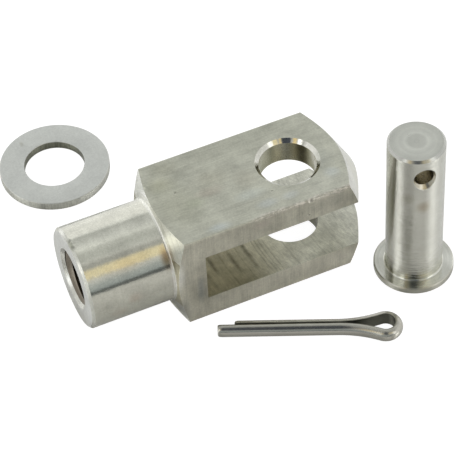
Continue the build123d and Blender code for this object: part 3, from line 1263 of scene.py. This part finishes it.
@dataclass
class SplitPin:
    """The split pin, folded from half-round wire with its flats facing each other."""

    eye_centre: Point = (5.62 * MM, -26.400 * MM, -8.63 * MM)
    turn: float = -24.9
    wire_radius: float = 1.318 * MM
    leg_gap: float = 0.2 * MM
    eye_inner_radius: float = 1.64 * MM
    bend_radius: float = 21.0 * MM
    straight_length: float = 20.45 * MM
    leg_difference: float = 2.9 * MM
    corner: float = 0.16 * MM
    tip_scale: float = 0.80
    tip_length: float = 0.7 * MM
    steps_round_wire: int = 40
    tip_shares: tuple[float, ...] = (0.0, 0.1, 0.2, 0.35, 0.5, 0.75, 1.0, 1.5)
    tip_clear: float = 1.6
    leg_steps: int = 8
    bend_steps: int = 16
    eye_steps: int = 48
    sharp_angle: float = 1.0
    finish: WireSteel = WireSteel(
        name="drawn_wire_steel",
        base=Zone((0.475, 0.465, 0.42), 0.18, 0.002, 0.05, Cut.ROLLED),
        mottle=0.12,
        speckle=0.08,
        speck_height=0.001,
        axis=(5.62, -26.400, 0.0),
    )

    def build(self) -> list[bpy.types.Object]:
        """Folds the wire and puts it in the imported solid's place.

        Returns:
            The pieces made here.
        """
        wire = self.wire()
        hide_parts("split_pin")
        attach(wire, BODY)
        return [wire]

    def path(self) -> list[tuple[float, float]]:
        """Lays out the line that the flat follows, from the long leg round the eye to the short one.

        Returns:
            Its points, in metres from the centre of the eye.
        """
        half_gap = self.leg_gap / 2
        bend = self.bend_radius
        reach_out = bend + half_gap
        centres = bend + self.eye_inner_radius
        throat = -sqrt(centres**2 - reach_out**2)
        lean = asin(-throat / centres)
        tip = throat - self.straight_length
        near = [(tip + share * self.tip_length, -half_gap) for share in self.tip_shares]
        for step in range(1, self.leg_steps + 1):
            near.append((throat - self.straight_length * (1 - step / self.leg_steps), -half_gap))
        for step in range(1, self.bend_steps + 1):
            angle = lean * step / self.bend_steps
            near.append((throat + bend * sin(angle), -reach_out + bend * cos(angle)))
        sweep = pi - (pi / 2 - lean)
        around = [-sweep + 2 * sweep * step / self.eye_steps for step in range(1, self.eye_steps)]
        eye = [(self.eye_inner_radius * cos(angle), self.eye_inner_radius * sin(angle)) for angle in around]
        start = tip + self.leg_difference
        far = [(x, -y) for x, y in reversed(near) if x > start + self.tip_clear * self.tip_length]
        far.extend((start + share * self.tip_length, half_gap) for share in reversed(self.tip_shares))
        return near + eye + far

    def wire(self) -> bpy.types.Object:
        """Carries a half-round section along the path, a little smaller at its two cut tips.

        Returns:
            The folded wire.
        """
        points = [(x, y, 0.0) for x, y in self.path()]
        line = bpy.data.meshes.new("split_pin_line")
        line.from_pydata(points, [(i, i + 1) for i in range(len(points) - 1)], [])
        recipe = Recipe("folded_wire")
        graph = recipe.graph
        radius = recipe.size("Wire radius", self.wire_radius)
        corner = recipe.size("Corner", self.corner)
        tip_scale = recipe.size("Tip scale", self.tip_scale)
        tip_length = recipe.size("Tip length", self.tip_length)
        steps = recipe.count("Steps round wire", self.steps_round_wire)
        round_wire = {"Resolution": steps, "Radius": radius}
        circle = graph.make("GeometryNodeCurvePrimitiveCircle", None, round_wire)
        x, y, _ = graph.split(graph.make("GeometryNodeInputPosition"))
        pressed = (x + x.hypotenuse(corner)) / 2
        flat = {"Geometry": circle, "Position": graph.vector(pressed, y, 0.0)}
        pressed_flat = graph.make("GeometryNodeSetPosition", None, flat)
        across = graph.split(graph.make("GeometryNodeInputPosition"))[0]
        on_flat = across.below(self.corner, self.corner * 0.5)
        settings = {"data_type": "FLOAT", "domain": "POINT"}
        mark = {"Geometry": pressed_flat, "Name": self.finish.flat_mark, "Value": on_flat}
        half_round = graph.make("GeometryNodeStoreNamedAttribute", settings, mark)
        curve = graph.make("GeometryNodeMeshToCurve", None, {"Mesh": recipe.source})
        upright = graph.make("GeometryNodeSetCurveNormal", {"mode": "Z_UP"}, {"Curve": curve})
        along = graph.make("GeometryNodeSplineParameter", out="Length")
        whole = graph.make("GeometryNodeSplineLength", out="Length")
        from_tip = (along.least(whole - along) / tip_length).least(1.0)
        to_go = 1.0 - from_tip
        size = tip_scale + (1.0 - tip_scale) * (1.0 - to_go * to_go).root()
        sweep = {"Curve": upright, "Profile Curve": half_round, "Scale": size, "Fill Caps": True}
        swept = graph.make("GeometryNodeCurveToMesh", None, sweep)
        turn = (0.0, 0.0, radians(self.turn))
        place = {"Geometry": swept, "Translation": self.eye_centre, "Rotation": turn}
        recipe.close(graph.make("GeometryNodeTransform", None, place), self.sharp_angle)
        return recipe.piece("split_pin_wire", self.finish.material(), line)


@dataclass(frozen=True)
class Card:
    """A lamp, card or dark thing round the table.

    azimuth is counted from the camera to its right, elevation from level, both with their half
    widths, all in degrees. edge is how soft its outline is, as a share of its size.
    """

    azimuth: float
    elevation: float
    half_width: float
    half_height: float
    colour: Colour
    edge: float = 0.2


@dataclass
class Studio:
    """White surface, soft light from all round, and the camera."""

    floor_z: float = -HALF_BAR * MM
    floor_half_side: float = 1.5
    view_azimuth: float = -21.638
    view_elevation: float = 47.659
    view_roll: float = -3.505
    view_distance: float = 405.779 * MM
    aim_right: float = 10.674 * MM
    aim_up: float = 4.645 * MM
    lens: float = 184.245
    sensor_width: float = 36.0
    clip: tuple[float, float] = (0.01, 10.0)
    sky_levels: tuple[tuple[float, Colour], ...] = (
        (0.0, (1.02, 1.02, 1.01)),
        (34.0, (1.04, 1.04, 1.03)),
        (40.0, (0.92, 0.93, 0.92)),
        (44.5, (0.56, 0.57, 0.56)),
        (54.0, (0.66, 0.67, 0.66)),
        (66.0, (0.78, 0.79, 0.78)),
        (74.0, (0.88, 0.89, 0.87)),
        (79.0, (0.68, 0.69, 0.67)),
        (88.0, (0.58, 0.59, 0.57)),
        (98.0, (0.60, 0.61, 0.59)),
        (104.0, (0.68, 0.68, 0.66)),
        (109.0, (0.47, 0.47, 0.45)),
        (116.0, (0.48, 0.48, 0.46)),
        (146.0, (0.66, 0.66, 0.64)),
        (156.0, (0.48, 0.51, 0.51)),
        (170.0, (0.40, 0.44, 0.45)),
        (180.0, (0.30, 0.33, 0.34)),
    )
    table_levels: tuple[tuple[float, Colour], ...] = (
        (-180.0, (0.85, 0.85, 0.84)),
        (-130.0, (1.15, 1.15, 1.14)),
        (-96.0, (0.66, 0.66, 0.65)),
        (-88.0, (0.80, 0.80, 0.79)),
        (-82.0, (1.80, 1.80, 1.78)),
        (-75.0, (2.55, 2.55, 2.52)),
        (-67.0, (2.65, 2.65, 2.62)),
        (-59.0, (1.30, 1.30, 1.28)),
        (-46.0, (0.38, 0.375, 0.36)),
        (-28.0, (0.27, 0.265, 0.25)),
        (-8.0, (0.50, 0.495, 0.475)),
        (22.0, (0.62, 0.61, 0.585)),
        (36.0, (0.42, 0.41, 0.39)),
        (47.0, (0.42, 0.41, 0.39)),
        (55.0, (1.60, 1.60, 1.58)),
        (63.0, (2.30, 2.30, 2.28)),
        (72.0, (1.90, 1.90, 1.88)),
        (83.0, (0.78, 0.78, 0.78)),
        (130.0, (0.95, 0.95, 0.94)),
        (180.0, (0.85, 0.85, 0.84)),
    )
    table_lift: tuple[tuple[float, Colour], ...] = (
        (-90.0, (1.00, 1.00, 1.00)),
        (-48.0, (1.00, 1.00, 1.00)),
        (-30.0, (1.25, 1.25, 1.25)),
        (-16.0, (1.48, 1.48, 1.48)),
        (0.0, (1.65, 1.65, 1.65)),
    )
    under_level: Colour = (0.36, 0.355, 0.34)
    under_elevation: float = -61.0
    under_soft: float = 4.0
    horizon_soft: float = 1.0
    cards: tuple[Card, ...] = (
        Card(-95.0, 20.0, 36.0, 26.0, (0.98, 0.98, 0.97)),
        Card(92.0, 20.0, 34.0, 26.0, (0.95, 0.95, 0.94)),
        Card(-48.0, 24.0, 11.0, 22.0, (1.85, 1.85, 1.82)),
        Card(55.0, 26.0, 11.0, 22.0, (1.70, 1.70, 1.68)),
        Card(24.0, 2.5, 35.0, 5.0, (0.13, 0.14, 0.14), 0.3),
        Card(41.0, 43.0, 8.0, 11.0, (0.98, 0.86, 0.57), 0.35),
        Card(22.0, 41.0, 5.0, 9.0, (0.95, 0.80, 0.48), 0.3),
        Card(-31.0, 40.0, 7.0, 9.0, (1.05, 0.84, 0.45), 0.3),
        Card(0.0, 56.0, 19.0, 28.0, (0.08, 0.09, 0.11), 0.12),
    )
    floor_albedo: float = 0.8
    floor_in_metal: float = 0.5
    floor_glow: float = 0.95
    floor_shadow: float = 0.24
    shade_reach: float = 14.0 * MM
    shade_samples: int = 8

    def build(self) -> None:
        """Builds the floor, the world and the camera."""
        self.floor()
        self.world()
        self.camera()
        bpy.context.scene.view_settings.view_transform = "Standard"

    def axes(self) -> tuple[Vector, Vector, Vector]:
        """Works out how the camera is turned.

        Returns:
            Its right, up and back directions.
        """
        azimuth, elevation, roll = map(radians, (self.view_azimuth, self.view_elevation, self.view_roll))
        flat = cos(elevation)
        back = Vector((sin(azimuth) * flat, -cos(azimuth) * flat, sin(elevation)))
        level = Vector((cos(azimuth), sin(azimuth), 0.0))
        over = back.cross(level)
        right = cos(roll) * level + sin(roll) * over
        up = cos(roll) * over - sin(roll) * level
        return right, up, back

    def camera(self) -> None:
        """Sets the camera where the photograph was taken from."""
        right, up, back = self.axes()
        aim = -self.aim_right * right - self.aim_up * up
        data = bpy.data.cameras.new("camera")
        data.sensor_width = self.sensor_width
        data.lens = self.lens
        data.clip_start, data.clip_end = self.clip
        camera = new_object("camera", data)
        turn = Matrix((right, up, back)).transposed()
        camera.matrix_world = Matrix.Translation(aim + self.view_distance * back) @ turn.to_4x4()
        bpy.context.scene.camera = camera

    def floor(self) -> None:
        """A wide level sheet, white to the camera, that keeps the pieces' soft shadows."""
        side = self.floor_half_side
        corners = [(-side, -side), (side, -side), (side, side), (-side, side)]
        mesh = bpy.data.meshes.new("floor")
        mesh.from_pydata([(x, y, self.floor_z) for x, y in corners], [], [(0, 1, 2, 3)])
        sheet = new_object("floor", mesh)
        material = bpy.data.materials.new("white_sheet")
        graph = fresh_graph(material)
        path = graph.make("ShaderNodeLightPath", out="Is Camera Ray")
        outputs = path.socket.node.outputs
        glossy = Signal(graph, outputs["Is Glossy Ray"])
        matt = graph.make("ShaderNodeBsdfDiffuse", None, {"Color": (self.floor_albedo,) * 3})
        glow = graph.make("ShaderNodeEmission", None, {"Color": WHITE, "Strength": self.floor_glow})
        thin = graph.make("ShaderNodeBsdfDiffuse", None, {"Color": (self.floor_shadow,) * 3})
        seen = graph.make("ShaderNodeAddShader", None, {0: glow, 1: thin})
        clear = graph.make("ShaderNodeBsdfTransparent")
        samples, reach = {"samples": self.shade_samples}, {"Distance": self.shade_reach}
        open_sky = graph.make("ShaderNodeAmbientOcclusion", samples, reach, "AO")
        in_metal = glossy * open_sky * (1.0 - self.floor_in_metal)
        other = graph.make("ShaderNodeMixShader", None, {0: in_metal, 1: matt, 2: clear})
        surface = graph.make("ShaderNodeMixShader", None, {0: path, 1: other, 2: seen})
        graph.make("ShaderNodeOutputMaterial", None, {"Surface": surface})
        mesh.materials.append(material)

    def world(self) -> None:
        """Soft light that differs by direction: pale behind and at the sides, dimmer in front."""
        world = bpy.data.worlds.new("studio")
        bpy.context.scene.world = world
        graph = fresh_graph(world)
        way = graph.make("ShaderNodeTexCoord", out="Generated")
        _, _, back = self.axes()
        away = Vector((-back.x, -back.y, 0.0)).normalized()
        beside = Vector((away.y, -away.x, 0.0))
        ahead = graph.vector_math("DOT_PRODUCT", way, tuple(away), out="Value")
        aside = graph.vector_math("DOT_PRODUCT", way, tuple(beside), out="Value")
        _, _, rise = graph.split(way)
        azimuth = aside.angle_over(-ahead) * IN_DEGREES
        elevation = rise.angle_over(aside.hypotenuse(ahead)) * IN_DEGREES
        arch = rise.most(0.0).angle_over(ahead) * IN_DEGREES
        sky = graph.ramp(arch, self.sky_levels)
        lift = graph.split(graph.ramp(elevation, self.table_lift))[0]
        around = graph.shade(graph.ramp(azimuth, self.table_levels), lift)
        beyond = elevation.above(self.under_elevation, self.under_soft)
        table = graph.tint(beyond, self.under_level, around)
        lit = graph.tint(elevation.above(0.0, self.horizon_soft), table, sky)
        for card in self.cards:
            over = (azimuth - card.azimuth) / card.half_width
            above = (elevation - card.elevation) / card.half_height
            lit = graph.tint(over.hypotenuse(above).below(1.0, card.edge), lit, card.colour)
        camera = graph.make("ShaderNodeLightPath", out="Is Camera Ray")
        light = graph.make("ShaderNodeBackground", None, {"Color": lit, "Strength": 1.0})
        white = graph.make("ShaderNodeBackground", None, {"Color": WHITE, "Strength": 1.0})
        both = graph.make("ShaderNodeMixShader", None, {0: camera, 1: light, 2: white})
        graph.make("ShaderNodeOutputWorld", None, {"Surface": both})


def write_sizes() -> None:
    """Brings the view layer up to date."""
    bpy.context.view_layer.update()


def main() -> None:
    """Builds the pieces one after the other, then the studio."""
    logging.basicConfig(level=logging.INFO, format="%(message)s")
    for assembly in (Fork(), ClevisPin(), Washer(), SplitPin()):
        for piece in assembly.build():
            LOG.info("%s: %s, %d faces", type(assembly).__name__, piece.name, len(piece.data.polygons))
    Studio().build()
    write_sizes()


if __name__ == "__main__":
    main()
